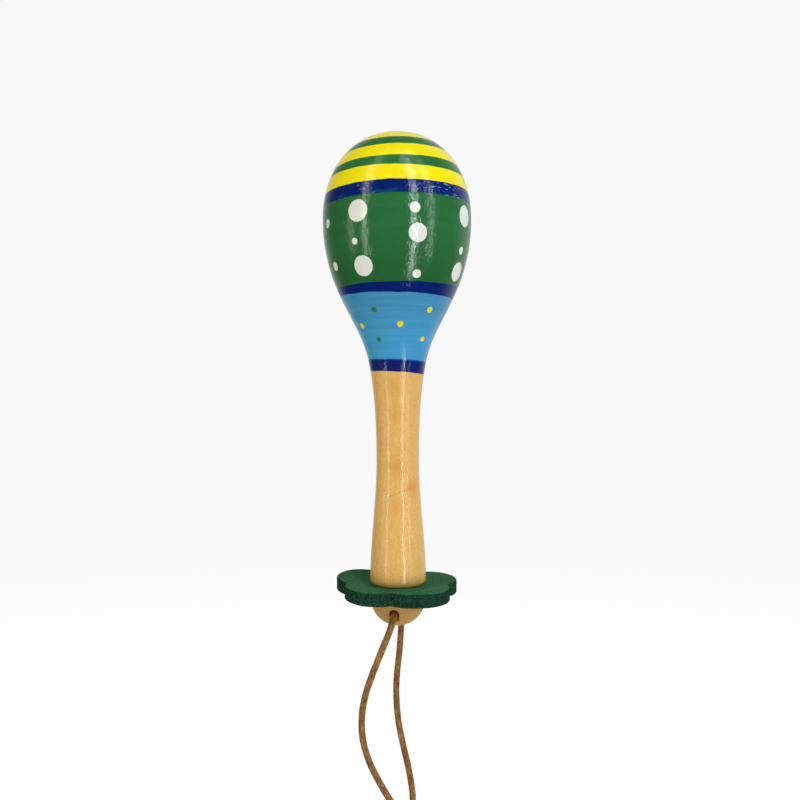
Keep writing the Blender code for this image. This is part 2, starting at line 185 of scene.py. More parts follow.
# Soft orange patches in the bare wood: angle, height, size, strength.
WOOD_PATCHES = (
    (9.0, -4.6, 5.2, 0.8), (49.0, -13.0, 4.0, 0.95), (5.0, -21.0, 5.0, 0.4), (6.0, 16.0, 4.5, 0.5),
    (3.0, 27.0, 4.0, 0.5), (-30.0, 4.0, 4.0, 0.35),
    (120.0, 6.0, 5.0, 0.7), (170.0, -14.0, 6.0, 0.6), (240.0, -2.0, 5.0, 0.7),
)
# Small dots on the light blue field, in two paints.
YELLOW_DOTS = (
    (49.3, 56.7, 2.5), (13.4, 51.1, 2.5), (-46.4, 51.0, 2.3), (-71.9, 55.7, 2.3), (53.2, 45.7, 2.2),
    (124.0, 51.4, 2.4), (160.0, 57.0, 2.4), (196.0, 46.0, 2.2), (231.0, 56.2, 2.4), (262.0, 48.0, 2.2),
)
GREEN_DOTS = (
    (-17.9, 56.6, 2.3), (84.3, 53.4, 2.3), (-21.2, 45.4, 2.0),
    (104.0, 45.2, 2.1), (141.0, 45.6, 2.1), (178.0, 51.0, 2.3), (214.0, 50.8, 2.2), (245.0, 44.6, 2.0),
)


# --- light ---
BACK_FROM, BACK_FULL = -0.22, -0.9      # cosines of the angle from the camera's direction
BACK_TURN = 12.0                        # the bright side is this far right of straight behind
FRONT_LIGHT, BACK_LIGHT = 0.07, 0.79
WARM, COOL = (1.0, 0.95, 0.80), (0.96, 0.99, 1.0)

# Tall strip lights: angle from the camera's direction, width in degrees, lowest and highest
# elevation seen from the head, radiance, colour.
STRIPS = (
    (26.0, 2.2, -34.0, 78.0, 30.0, COOL),
    (-50.0, 2.2, -19.0, 78.0, 17.0, WARM),
    (52.0, 1.8, -17.0, 78.0, 15.0, COOL),
    (-74.0, 5.0, -12.0, 10.0, 3.5, WARM),
)
STRIP_DISTANCE = 900.0

# Soft fill that doesn't show in the varnish: name, angle from the camera's direction, distance out,
# height, width, length, radiance, colour.
FILLS = (
    ("overhead", 30.0, 350.0, 1300.0, 700.0, 500.0, 3.0, COOL),
    ("under", 0.0, 150.0, -620.0, 1300.0, 1300.0, 0.85, COOL),
    ("left", -82.0, 900.0, 60.0, 700.0, 900.0, 1.22, WARM),
    ("right", 80.0, 900.0, 40.0, 700.0, 900.0, 0.78, COOL),
    ("back", 180.0, 1100.0, 100.0, 1000.0, 1000.0, 1.1, COOL),
)


def srgb(red, green, blue):
    """Linear colour from display values of 0 to 255."""
    linear = []
    for value in (red, green, blue):
        share = value / 255.0
        linear.append(share / 12.92 if share <= 0.04045 else ((share + 0.055) / 1.055) ** 2.4)
    return tuple(linear) + (1.0,)


YELLOW = srgb(255, 238, 20)
DEEPER_YELLOW = srgb(252, 228, 14)
GREEN = srgb(45, 115, 62)
DEEPER_GREEN = srgb(38, 97, 52)
NAVY = srgb(2, 30, 106)
PALER_NAVY = srgb(6, 42, 120)
LIGHT_BLUE = srgb(68, 158, 209)
# painted shade of the light blue, for the top of its field
SHADED_BLUE = srgb(68, 144, 188)
PALER_BLUE = srgb(92, 176, 222)
LOWER_NAVY = srgb(24, 34, 110)
DOT_YELLOW = srgb(250, 223, 34)
DOT_GREEN = srgb(60, 121, 82)
WHITE = srgb(238, 238, 230)
TEAL = srgb(8, 84, 120)
SCUFF = srgb(170, 190, 215)
BRIGHT_BLUE = srgb(10, 86, 172)
WOOD_PALE = srgb(241, 195, 117)
WOOD_DEEP = srgb(230, 178, 95)
WOOD_ORANGE = srgb(230, 160, 74)
WOOD_BRIGHT = srgb(248, 212, 146)
WOOD_PORE = srgb(140, 88, 40)
WOOD_LINE = srgb(194, 126, 66)
WOOD_IN_FELT_SHADE = srgb(160, 128, 56)      # painted shade that the felt casts on the wood
WOOD_AGED = srgb(206, 122, 58)
FELT_FACE = srgb(50, 118, 74)
FELT_FACE_DARK = srgb(30, 80, 48)
FELT_CUT = srgb(22, 68, 48)
FELT_CUT_DARK = srgb(10, 42, 30)
FELT_CUT_PIT = srgb(5, 24, 18)
FELT_LINT = srgb(92, 150, 116)
LEATHER = srgb(166, 116, 58)
LEATHER_DARK = srgb(104, 68, 28)
LEATHER_FIBRE = srgb(204, 150, 88)
SEED_BROWN = srgb(120, 78, 40)
SEED_DARK = srgb(74, 44, 22)
PALE_FLOOR = srgb(248, 248, 248)
FLOOR_GRAIN = srgb(246, 246, 246), srgb(250, 250, 250)


# --- places round the axis ---
def round_axis(angle, distance, height):
    """The point at an angle round the axis, in millimetres."""
    turn = math.radians(angle)
    return Vector((distance * math.sin(turn), -distance * math.cos(turn), height))


VIEW_RIGHT = round_axis(VIEW_ANGLE + 90.0, 1.0, 0.0)
VIEW_TOWARDS = round_axis(VIEW_ANGLE, 1.0, 0.0)


def side_radius(z):
    """Outer radius of the turned wood at a height below the equator: a cubic between the knots."""
    heights = [knot[0] for knot in SIDE_KNOTS]
    i = min(max(int(np.searchsorted(heights, z)) - 1, 0), len(SIDE_KNOTS) - 2)
    (z0, r0, s0), (z1, r1, s1) = SIDE_KNOTS[i], SIDE_KNOTS[i + 1]
    span = z1 - z0
    t = (z - z0) / span
    return (
        (2 * t**3 - 3 * t**2 + 1) * r0 + (t**3 - 2 * t**2 + t) * span * s0
        + (3 * t**2 - 2 * t**3) * r1 + (t**3 - t**2) * span * s1
    )


def crown_radius(z, inset=0.0):
    """Radius of the dome at a height above the equator, moved in by inset."""
    share = min((z - EQUATOR_Z) / (CROWN_Z - EQUATOR_Z - inset), 1.0)
    return (HEAD_RADIUS - inset) * (1.0 - share**CROWN_EXPONENT) ** (1.0 / CROWN_EXPONENT)


def outer_radius(z):
    return crown_radius(z) if z > EQUATOR_Z else side_radius(z)


def side_outline(z_from, z_to, steps, inset=0.0):
    return [(side_radius(z) - inset, z) for z in np.linspace(z_from, z_to, steps)]


def crown_outline(z_from, steps, inset=0.0):
    """(radius, height) points of the dome from a height up to the pole, moved in by inset."""
    radius, rise = HEAD_RADIUS - inset, CROWN_Z - EQUATOR_Z - inset
    power = 2.0 / CROWN_EXPONENT
    first = math.asin(((z_from - EQUATOR_Z) / rise) ** (1.0 / power))
    points = [
        (radius * math.cos(a) ** power, EQUATOR_Z + rise * math.sin(a) ** power)
        for a in np.linspace(first, math.pi / 2, steps)
    ]
    points[-1] = (0.0, EQUATOR_Z + rise)
    return points


def arc_outline(centre, radius, start_deg, end_deg, steps):
    """(radius, height) points along an arc, with angles from the outward direction."""
    angles = np.radians(np.linspace(start_deg, end_deg, steps))
    return [(centre[0] + radius * math.cos(a), centre[1] + radius * math.sin(a)) for a in angles]


# --- making pieces ---
def piece_from(mesh, name, looks, smooth_angle=40.0):
    """An object of a finished mesh, smooth except at edges sharper than smooth_angle."""
    result = bpy.data.objects.new(name, mesh)
    bpy.context.scene.collection.objects.link(result)
    for look in looks:
        mesh.materials.append(look)
    mesh.shade_smooth()
    mesh.set_sharp_from_angle(angle=math.radians(smooth_angle))
    return result


def mesh_from(name, points, faces):
    """A mesh of points in millimetres."""
    mesh = bpy.data.meshes.new(name)
    mesh.from_pydata([tuple(Vector(p) * MM) for p in points], [], faces)
    mesh.validate()
    return mesh


def settled(item, body, slot, *stands_for):
    """Makes a finished piece ride its body, and hides the CAD nodes it stands for. Its slot is not used."""
    if stands_for:
        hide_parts(*stands_for)
    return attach(item, body)


def mesh_of(shape, name):
    """The mesh of a finished bmesh, which it frees."""
    mesh = bpy.data.meshes.new(name)
    shape.to_mesh(mesh)
    shape.free()
    return mesh


def lathe_mesh(name, outline, segments):
    """A turned solid. The outline of (radius, height) points runs from axis to axis."""
    shape = bmesh.new()
    points = [shape.verts.new((r * MM, 0.0, z * MM)) for r, z in outline]
    for first, second in zip(points, points[1:]):
        shape.edges.new((first, second))
    bmesh.ops.spin(
        shape, geom=shape.verts[:] + shape.edges[:], cent=(0, 0, 0), axis=(0, 0, 1),
        angle=TAU, steps=segments, use_merge=True,
    )
    bmesh.ops.remove_doubles(shape, verts=shape.verts, dist=0.004 * MM)
    bmesh.ops.recalc_face_normals(shape, faces=shape.faces)
    return mesh_of(shape, name)


def paint_inner_faces(mesh, is_inner, index):
    """Gives a material index to the faces whose centre (radius, height) is_inner accepts."""
    for face in mesh.polygons:
        centre = face.center / MM
        if is_inner(math.hypot(centre.x, centre.y), centre.z):
            face.material_index = index


def smooth_route(points, step):
    """Evenly spaced points, about a step apart, on a Catmull-Rom curve through the given points."""
    route = np.array(points, float)
    padded = np.vstack([2 * route[0] - route[1], route, 2 * route[-1] - route[-2]])
    dense = []
    for p0, p1, p2, p3 in zip(padded, padded[1:], padded[2:], padded[3:]):
        for t in np.linspace(0.0, 1.0, 24, endpoint=False):
            dense.append(0.5 * (
                2 * p1 + (p2 - p0) * t + (2 * p0 - 5 * p1 + 4 * p2 - p3) * t**2
                + (3 * p1 - p0 - 3 * p2 + p3) * t**3
            ))
    dense = np.array(dense + [route[-1]])
    along = np.concatenate([[0.0], np.cumsum(np.linalg.norm(np.diff(dense, axis=0), axis=1))])
    stations = np.linspace(0.0, along[-1], int(round(along[-1] / step)) + 1)
    return np.column_stack([np.interp(stations, along, dense[:, k]) for k in range(3)])


def route_frames(route):
    """Two directions across the route at each of its points, carried along without twisting."""
    tangents = np.gradient(route, axis=0)
    tangents /= np.linalg.norm(tangents, axis=1)[:, None]
    across = np.cross(tangents[0], (1.0, 0.0, 0.0))
    if np.linalg.norm(across) < 0.1:
        across = np.cross(tangents[0], (0.0, 1.0, 0.0))
    sides = []
    for tangent in tangents:
        across = across - tangent * (across @ tangent)
        across /= np.linalg.norm(across)
        sides.append(across)
    sides = np.array(sides)
    return sides, np.cross(tangents, sides)


def leather_tube(route, diameter, seed, sides=28):
    """Points and faces of a round leather cord along a route, with a fibrous, slightly lumpy skin."""
    first, second = route_frames(route)
    points, faces = [], []
    count = len(route)
    offset = Vector((seed * 7.3, 0.0, 0.0))
    for i in range(count):
        for k in range(sides):
            turn = TAU * k / sides
            lump = noise.noise(Vector((math.cos(turn), math.sin(turn), i * 0.05)) + offset)
            fibre = noise.noise(Vector((4 * math.cos(turn), 4 * math.sin(turn), i * 0.16)) + offset)
            radius = diameter / 2 * (1.0 + 0.045 * lump + 0.05 * fibre)
            points.append(route[i] + radius * (math.cos(turn) * first[i] + math.sin(turn) * second[i]))
    for i in range(count - 1):
        for k in range(sides):
            a, b = i * sides + k, i * sides + (k + 1) % sides
            faces.append((a, b, b + sides, a + sides))
    points += [route[0], route[-1]]
    start, end, last = len(points) - 2, len(points) - 1, (count - 1) * sides
    for k in range(sides):
        faces.append((start, (k + 1) % sides, k))
        faces.append((end, last + k, last + (k + 1) % sides))
    return points, faces


# --- materials ---
class Look:
    """A material being built, with a short call for each kind of node that the looks use."""

    def __init__(self, name, roughness=0.5):
        self.material = bpy.data.materials.new(name)
        self.material.use_nodes = True
        self.tree = self.material.node_tree
        self.shader = self.tree.nodes["Principled BSDF"]
        self.shader.inputs["Roughness"].default_value = roughness
        self.place = self.node("TexCoord").outputs["Object"]
        self.z = self.node("SeparateXYZ", self.place).outputs["Z"]

    def node(self, kind, *values, **settings):
        made = self.tree.nodes.new("ShaderNode" + kind)
        for key, value in settings.items():
            setattr(made, key, value)
        for socket, value in zip(made.inputs, values):
            self.feed(socket, value)
        return made

    def feed(self, socket, value):
        if isinstance(value, bpy.types.NodeSocket):
            self.tree.links.new(value, socket)
        elif value is not None:
            socket.default_value = value

    def math(self, operation, *values):
        return self.node("Math", *values, operation=operation).outputs[0]

    def product(self, *values):
        """All the values multiplied together."""
        result = values[0]
        for value in values[1:]:
            result = self.math("MULTIPLY", result, value)
        return result

    def along(self, direction):
        """How far the place lies along a direction, in metres."""
        made = self.node("VectorMath", self.place, tuple(direction), operation="DOT_PRODUCT")
        return made.outputs["Value"]

    def ramp(self, value, low, high, low_out=0.0, high_out=1.0):
        """A smooth step of value from low to high."""
        made = self.node("MapRange", value, low, high, low_out, high_out)
        made.interpolation_type = "SMOOTHSTEP"
        return made.outputs[0]

    def upwards(self, heights, below=0.0, above=1.0):
        """A smooth step between two heights in millimetres."""
        return self.ramp(self.z, heights[0] * MM, heights[1] * MM, below, above)

    def mix(self, share, below, above):
        made = self.node("Mix", data_type="RGBA")
        for socket, value in zip((made.inputs[0], made.inputs[6], made.inputs[7]), (share, below, above)):
            self.feed(socket, value)
        return made.outputs[2]

    def stretched(self, across, along):
        """The place, scaled across the axis and along it, in periods per millimetre."""
        scale = (across / MM, across / MM, along / MM)
        return self.node("Mapping", self.place, None, None, scale).outputs[0]

    def noise(self, across, along=None, detail=2.0, roughness=0.5, distortion=0.0):
        """Noise from 0 to 1, with its periods per millimetre across and along the axis."""
        made = self.node("TexNoise", self.stretched(across, across if along is None else along))
        for key, value in (("Scale", 1.0), ("Detail", detail), ("Roughness", roughness),
                           ("Distortion", distortion)):
            made.inputs[key].default_value = value
        return made.outputs["Fac"]

    def cells(self, across, along):
        """Distance to the nearest of scattered points, with their number per millimetre."""
        made = self.node("TexVoronoi", self.stretched(across, along))
        made.inputs["Scale"].default_value = 1.0
        return made.outputs["Distance"]

    def distance_to(self, angle, height):
        """Distance in metres to a spot on the turned surface."""
        spot = round_axis(angle, outer_radius(height), height) * MM
        return self.node("VectorMath", self.place, tuple(spot), operation="DISTANCE").outputs["Value"]

    def wavering(self, value, width):
        """Noise turned into an offset that wavers about zero, over a width in millimetres."""
        return self.product(self.math("SUBTRACT", value, 0.5), width * MM)

    def bump(self, height, depth, below=None):
        """Bumps of a depth in millimetres, on top of other bumps."""
        made = self.node("Bump")
        made.inputs["Strength"].default_value = 1.0
        made.inputs["Distance"].default_value = depth * MM
        self.feed(made.inputs["Height"], height)
        if below is not None:
            self.feed(made.inputs["Normal"], below)
        return made.outputs[0]

    def finish(self, colour, roughness=None, normal=None):
        self.feed(self.shader.inputs["Base Color"], colour)
        if roughness is not None:
            self.feed(self.shader.inputs["Roughness"], roughness)
        if normal is not None:
            self.feed(self.shader.inputs["Normal"], normal)
        return self.material


def height_over_ring(look, name, wobble):
    """Height above a painted edge in metres, which leans a little and wavers like brushwork."""
    height, rise = RING_EDGES[name]
    lean = (VIEW_RIGHT * rise + VIEW_TOWARDS * RING_FRONT_RISE) / outer_radius(height)
    over = look.math("SUBTRACT", look.z, (height - RING_FRONT_RISE) * MM)
    return look.math("ADD", look.math("SUBTRACT", over, look.along(lean)), wobble)


def dots_mask(look, dots, waver):
    """1 inside any of the painted dots. Each is round, with a slightly uneven rim."""
    mask = None
    for angle, height, diameter in dots:
        inside = look.math("SUBTRACT", diameter / 2 * MM, look.distance_to(angle, height))
        mask = inside if mask is None else look.math("MAXIMUM", mask, inside)
    mask = look.math("ADD", mask, waver)
    return look.ramp(mask, -DOT_EDGE * MM, DOT_EDGE * MM)


def wood_layers(look):
    """Colour of fine, pale, turned wood under varnish, with painted shade near the felt."""
    broad = look.noise(0.08, 0.04, detail=3.0, distortion=0.6)
    streaks = look.noise(0.9, 0.06, detail=4.0, roughness=0.6)
    grain = look.noise(1.5, 1.1, detail=3.0, roughness=0.7)
    colour = look.mix(look.ramp(streaks, 0.25, 0.75, 0.3, 0.7), WOOD_DEEP, WOOD_PALE)
    colour = look.mix(look.ramp(broad, 0.5, 0.7, 0.0, 0.35), colour, WOOD_ORANGE)
    colour = look.mix(look.ramp(grain, 0.5, 0.7, 0.0, 0.6), colour, WOOD_ORANGE)
    colour = look.mix(look.ramp(grain, 0.34, 0.48, 0.5, 0.0), colour, WOOD_BRIGHT)
    for angle, height, size, strength in WOOD_PATCHES:
        ragged = look.math("ADD", look.distance_to(angle, height), look.product(broad, size * MM))
        patch = look.ramp(ragged, 0.5 * size * MM, 1.7 * size * MM, strength, 0.0)
        colour = look.mix(patch, colour, WOOD_ORANGE)
    pores = look.ramp(look.cells(0.62, 0.3), 0.045, 0.12, 1.0, 0.0)
    scarce = look.ramp(look.noise(0.14, 0.1), 0.5, 0.62)
    colour = look.mix(look.product(pores, scarce, 0.55), colour, WOOD_PORE)
    # painted shade: the wood darkens just above the felt and stays darker below it, on the knob
    foot = look.upwards((FOOT_Z + 1.0, FOOT_Z + 6.5), 0.55, 0.0)
    colour = look.mix(foot, colour, WOOD_IN_FELT_SHADE)
    return look.mix(growth_line(look), colour, WOOD_LINE)


def growth_line(look):
    """A thin reddish growth line that slants across one side of the handle."""
    middle_z, slope, half_width = -15.2, 0.338, 0.15
    across, towards = look.along(VIEW_RIGHT), look.along(VIEW_TOWARDS)
    over = look.math("SUBTRACT", look.z, middle_z * MM)
    over = look.math("SUBTRACT", over, look.product(across, slope))
    over = look.math("ABSOLUTE", look.math("ADD", over, look.wavering(look.noise(0.25, detail=3.0), 1.0)))
    line = look.ramp(over, half_width * MM, 2.2 * half_width * MM, 1.0, 0.0)
    starts = look.ramp(across, -6.4 * MM, -2.4 * MM)
    front = look.ramp(towards, -1.0 * MM, 1.5 * MM)
    broken = look.ramp(look.noise(0.9, detail=2.0), 0.35, 0.6, 0.1, 0.65)
    fainter = look.ramp(across, 1.5 * MM, 6.0 * MM, 1.0, 0.35)
    return look.product(line, starts, front, broken, fainter)


def turned_finish(name):
    """Painted rings above, varnished wood below: one finish runs over head and handle."""
    look = Look(name)
    slow = look.noise(0.10, 0.05, detail=2.0)
    quick = look.noise(0.7, 0.3, detail=2.0)
    wobble = look.math("ADD", look.wavering(slow, 0.8), look.wavering(quick, 0.2))
    wobble = look.product(wobble, look.upwards(STEADIER_BRUSH, 1.0, 0.3))

    def over(ring):
        return height_over_ring(look, ring, wobble)

    def edge(value):
        """0 below a painted edge and 1 above it."""
        return look.ramp(value, -PAINT_EDGE * MM, PAINT_EDGE * MM)

    def near(place, full, gone):
        """1 round a place given as (angle, height), falling to 0 at a distance in millimetres."""
        return look.ramp(look.distance_to(*place), full * MM, gone * MM, 1.0, 0.0)

    # the light blue field, darkened towards its top with painted shade
    rings = look.noise(0.03, 1.1, detail=3.0)
    colour = look.mix(look.upwards(BLUE_SHADE_HEIGHTS), LIGHT_BLUE, SHADED_BLUE)
    colour = look.mix(look.ramp(rings, 0.35, 0.7, 0.0, 0.3), colour, PALER_BLUE)
    waver = look.wavering(quick, 0.3)
    colour = look.mix(dots_mask(look, YELLOW_DOTS, waver), colour, DOT_YELLOW)
    colour = look.mix(dots_mask(look, GREEN_DOTS, waver), colour, DOT_GREEN)
    # navy rings, with the brighter blue that bleeds along their upper edges
    below_blue = over("blue_field")
    navy = look.mix(look.ramp(rings, 0.3, 0.75, 0.0, 0.3), NAVY, PALER_NAVY)
    bleed = look.ramp(below_blue, -0.75 * MM, -0.1 * MM)
    lower_navy = look.mix(bleed, look.mix(0.7, navy, LOWER_NAVY), BRIGHT_BLUE)
    colour = look.mix(edge(below_blue), lower_navy, colour)
    colour = look.mix(edge(over("middle_navy")), colour, navy)
    # the green field and its white dots
    thickness = look.noise(0.06, 0.3, detail=3.0)
    shade = look.upwards(GREEN_LIGHTENS, 0.7, 0.0)
    deeper = look.math("MAXIMUM", look.ramp(thickness, 0.35, 0.7, 0.0, 0.4), shade)
    field = look.mix(deeper, GREEN, DEEPER_GREEN)
    field = look.mix(dots_mask(look, WHITE_DOTS, waver), field, WHITE)
    colour = look.mix(edge(over("green_field")), colour, field)
    # upper navy ring: teal where the green shows through, and small pale scuffs
    over_green = over("upper_navy")
    patch = look.ramp(look.noise(0.2, 0.7, detail=3.0), 0.40, 0.62)
    low = look.ramp(over_green, 0.2 * MM, 2.4 * MM, 0.7, 0.0)
    thin_paint = look.product(patch, look.math("MAXIMUM", near(TEAL_PLACE, 6.0, 14.0), 0.35), low)
    scuffs = look.ramp(look.noise(0.45, 2.2, detail=2.0), 0.58, 0.64)
    worn = look.ramp(look.noise(0.10, 0.2), 0.56, 0.66, 0.0, 0.5)
    worn = look.math("MAXIMUM", worn, near(SCUFF_PLACE, 6.0, 11.0))
    upper = look.mix(thin_paint, navy, TEAL)
    upper = look.mix(look.product(scuffs, worn, 0.7), upper, SCUFF)
    colour = look.mix(edge(over_green), colour, upper)
    # yellow and green stripes up to the cap
    yellow = look.mix(look.ramp(rings, 0.4, 0.75, 0.0, 0.35), YELLOW, DEEPER_YELLOW)
    stripes = (("lower_yellow", yellow), ("lower_green", GREEN), ("upper_yellow", yellow),
               ("upper_green", GREEN), ("cap", yellow))
    for ring, paint in stripes:
        colour = look.mix(edge(over(ring)), colour, paint)
    # bare wood under the lowest ring
    painted = edge(over("lower_navy"))
    colour = look.mix(painted, wood_layers(look), colour)

    # varnish: orange peel, the marks of the lathe and the step at the paint's lower edge
    peel = look.math("SUBTRACT", look.noise(1.4, detail=1.0), 0.5)
    calmer_above = look.upwards(SMOOTHER_CROWN, 1.0, 0.3)
    calmer_on_wood = look.ramp(painted, 0.0, 1.0, 0.85, 1.0)
    normal = look.bump(look.product(peel, calmer_above, calmer_on_wood), 0.088)
    lathe_marks = look.noise(0.02, 1.6, detail=2.0)
    normal = look.bump(lathe_marks, 0.012, normal)
    edge_step = look.ramp(look.math("ABSOLUTE", over("lower_navy")), 0.0, 0.3 * MM)
    normal = look.bump(edge_step, 0.01, normal)
    roughness = look.ramp(look.noise(0.3, detail=3.0), 0.3, 0.7, 0.04, 0.07)
    roughness = look.math("ADD", roughness, look.ramp(painted, 0.0, 1.0, 0.125, 0.0))
    look.shader.inputs["IOR"].default_value = 1.5
    return look.finish(colour, roughness, normal)


def bare_wood(name, roughness, aged=0.0):
    """Wood without paint, for the inside of the head, the tenon, the dowel and the knob."""
    look = Look(name)
    colour = look.mix(aged, wood_layers(look), WOOD_AGED)
    normal = look.bump(look.noise(1.1, 0.5, detail=3.0), 0.02)
    rough = look.ramp(look.noise(0.5, detail=3.0), 0.3, 0.7, roughness - 0.06, roughness + 0.08)
    return look.finish(colour, rough, normal)


def felt_face(name):
    """The pressed faces of the felt: matted fibres with a soft nap."""
    look = Look(name)
    clumps = look.noise(0.8, detail=4.0, roughness=0.7)
    fibres = look.noise(1.4, detail=4.0, roughness=0.75, distortion=1.5)
    colour = look.mix(look.ramp(clumps, 0.38, 0.62, 0.25, 1.0), FELT_FACE_DARK, FELT_FACE)
    colour = look.mix(look.ramp(fibres, 0.30, 0.46, 0.5, 0.0), colour, FELT_FACE_DARK)
    colour = look.mix(look.ramp(fibres, 0.54, 0.74, 0.0, 0.5), colour, FELT_LINT)
    normal = look.bump(fibres, 0.16)
    normal = look.bump(clumps, 0.35, normal)
    look.shader.inputs["Sheen Weight"].default_value = 0.03
    look.shader.inputs["Sheen Roughness"].default_value = 0.5
    look.shader.inputs["Specular IOR Level"].default_value = 0.08
    roughness = look.ramp(fibres, 0.3, 0.7, 0.88, 1.0)
    return look.finish(colour, roughness, normal)


def felt_cut(name):
    """The felt's cut edge: darker, open and mottled with pale fibre ends."""
    look = Look(name)
    clumps = look.noise(0.5, detail=3.0, roughness=0.6)
    fibres = look.noise(1.9, detail=4.0, roughness=0.75, distortion=0.8)
    colour = look.mix(look.ramp(clumps, 0.3, 0.7, 0.15, 0.85), FELT_CUT_DARK, FELT_CUT)
    colour = look.mix(look.ramp(fibres, 0.34, 0.47, 0.85, 0.0), colour, FELT_CUT_PIT)
    colour = look.mix(look.ramp(fibres, 0.54, 0.66, 0.0, 0.55), colour, FELT_LINT)
    normal = look.bump(fibres, 0.35)
    look.shader.inputs["Specular IOR Level"].default_value = 0.15
    roughness = look.ramp(fibres, 0.3, 0.7, 0.85, 1.0)
    return look.finish(colour, roughness, normal)


def leather(name):
    """Waxed leather lace with a fibrous, rubbed skin."""
    look = Look(name)
    mottles = look.noise(0.5, 0.3, detail=4.0, roughness=0.65)
    fibres = look.noise(1.3, 1.0, detail=4.0, roughness=0.75, distortion=1.0)
    colour = look.mix(look.ramp(mottles, 0.3, 0.7), LEATHER_DARK, LEATHER)
    colour = look.mix(look.ramp(fibres, 0.34, 0.48, 0.9, 0.0), colour, LEATHER_DARK)
    colour = look.mix(look.ramp(fibres, 0.54, 0.64, 0.0, 0.85), colour, LEATHER_FIBRE)
    normal = look.bump(fibres, 0.15)
    look.shader.inputs["Specular IOR Level"].default_value = 0.35
    roughness = look.ramp(mottles, 0.3, 0.7, 0.55, 0.75)
    return look.finish(colour, roughness, normal)


def dry_seed(name):
    """Hard dry seeds, streaked and slightly polished by rattling."""
    look = Look(name)
    streaks = look.noise(0.9, detail=4.0, roughness=0.65, distortion=1.0)
    colour = look.mix(look.ramp(streaks, 0.35, 0.65), SEED_DARK, SEED_BROWN)
    normal = look.bump(streaks, 0.08)
    roughness = look.ramp(streaks, 0.3, 0.7, 0.4, 0.6)
    return look.finish(colour, roughness, normal)


# --- camera, stage and light ---
def make_camera():
    data = bpy.data.cameras.new("camera")
    data.sensor_width = SENSOR
    data.lens = LENS
    data.clip_start, data.clip_end = 0.01, 50.0
    camera = bpy.data.objects.new("camera", data)
    bpy.context.scene.collection.objects.link(camera)
    camera.location = round_axis(VIEW_ANGLE, VIEW_DISTANCE, VIEW_HEIGHT) * MM
    aim = (VIEW_RIGHT * AIM_RIGHT + Vector((0.0, 0.0, AIM_HEIGHT))) * MM
    looking = (aim - camera.location).to_track_quat("-Z", "Y").to_matrix()
    roll = Matrix.Rotation(math.radians(-VIEW_ROLL), 3, "Z")
    camera.rotation_euler = (looking @ roll).to_euler()
    bpy.context.scene.camera = camera


def make_floor():
    """A wide pale floor well below the maraca. Far away it fades to the studio's own white."""
    floor_z, half_size = -700.0, 30000.0
    near, far = 1500.0, 6000.0
    share_near, glow_near = 0.98, 1.07      # how much of the near floor is glow, and how strong
    corners = [(-half_size, -half_size, floor_z), (half_size, -half_size, floor_z),
               (half_size, half_size, floor_z), (-half_size, half_size, floor_z)]
    look = Look("pale_floor", 0.7)
    grain = look.noise(0.02, detail=3.0)
    colour = look.mix(look.ramp(grain, 0.3, 0.7), *FLOOR_GRAIN)
    distance = look.node("VectorMath", look.place, operation="LENGTH").outputs["Value"]
    fade = look.ramp(distance, near * MM, far * MM, share_near, 1.0)
    look.finish(colour)
    strength = look.ramp(distance, near * MM, far * MM, glow_near, 1.0)
    glow = look.node("Emission", PALE_FLOOR, strength).outputs[0]
    blend = look.node("MixShader", fade, look.shader.outputs[0], glow).outputs[0]
    look.feed(look.tree.nodes["Material Output"].inputs["Surface"], blend)
    floor = piece_from(mesh_from("floor", corners, [(0, 1, 2, 3)]), "floor", [look.material])
    floor.visible_glossy = False
    floor.visible_diffuse = False


def make_world():
    """Pale all round to the eye. As light, it is bright behind the maraca and dim in front."""
    world = bpy.data.worlds.new("studio")
    bpy.context.scene.world = world
    world.use_nodes = True
    tree = world.node_tree
    tree.nodes.clear()

    def node(kind, **settings):
        made = tree.nodes.new("ShaderNode" + kind)
        for key, value in settings.items():
            setattr(made, key, value)
        return made

    direction = node("TexCoord").outputs["Generated"]
    towards = node("VectorMath", operation="DOT_PRODUCT")
    tree.links.new(direction, towards.inputs[0])
    towards.inputs[1].default_value = tuple(round_axis(VIEW_ANGLE - BACK_TURN, 1.0, 0.0))
    falloff = node("MapRange", interpolation_type="SMOOTHSTEP")
    tree.links.new(towards.outputs["Value"], falloff.inputs[0])
    for socket, value in zip(falloff.inputs[1:5], (BACK_FROM, BACK_FULL, FRONT_LIGHT, BACK_LIGHT)):
        socket.default_value = value
    lighting, backdrop = node("Background"), node("Background")
    tree.links.new(falloff.outputs[0], lighting.inputs["Strength"])
    backdrop.inputs["Color"].default_value = PALE_FLOOR
    seen = node("LightPath").outputs["Is Camera Ray"]
    blend = node("MixShader")
    tree.links.new(seen, blend.inputs[0])
    tree.links.new(lighting.outputs[0], blend.inputs[1])
    tree.links.new(backdrop.outputs[0], blend.inputs[2])
    output = node("OutputWorld")
    tree.links.new(blend.outputs[0], output.inputs["Surface"])


def area_light(name, place, facing, width, height, radiance, colour, shows_in_gloss=True):
    data = bpy.data.lights.new(name, "AREA")
    data.shape = "RECTANGLE"
    data.size, data.size_y = width * MM, height * MM
    data.energy = radiance * math.pi * width * height * MM * MM
    data.color = colour
    light = bpy.data.objects.new(name, data)
    bpy.context.scene.collection.objects.link(light)
    light.location = place * MM
    light.rotation_euler = facing.to_track_quat("-Z", "Y").to_euler()
    light.visible_camera = False
    light.visible_glossy = shows_in_gloss


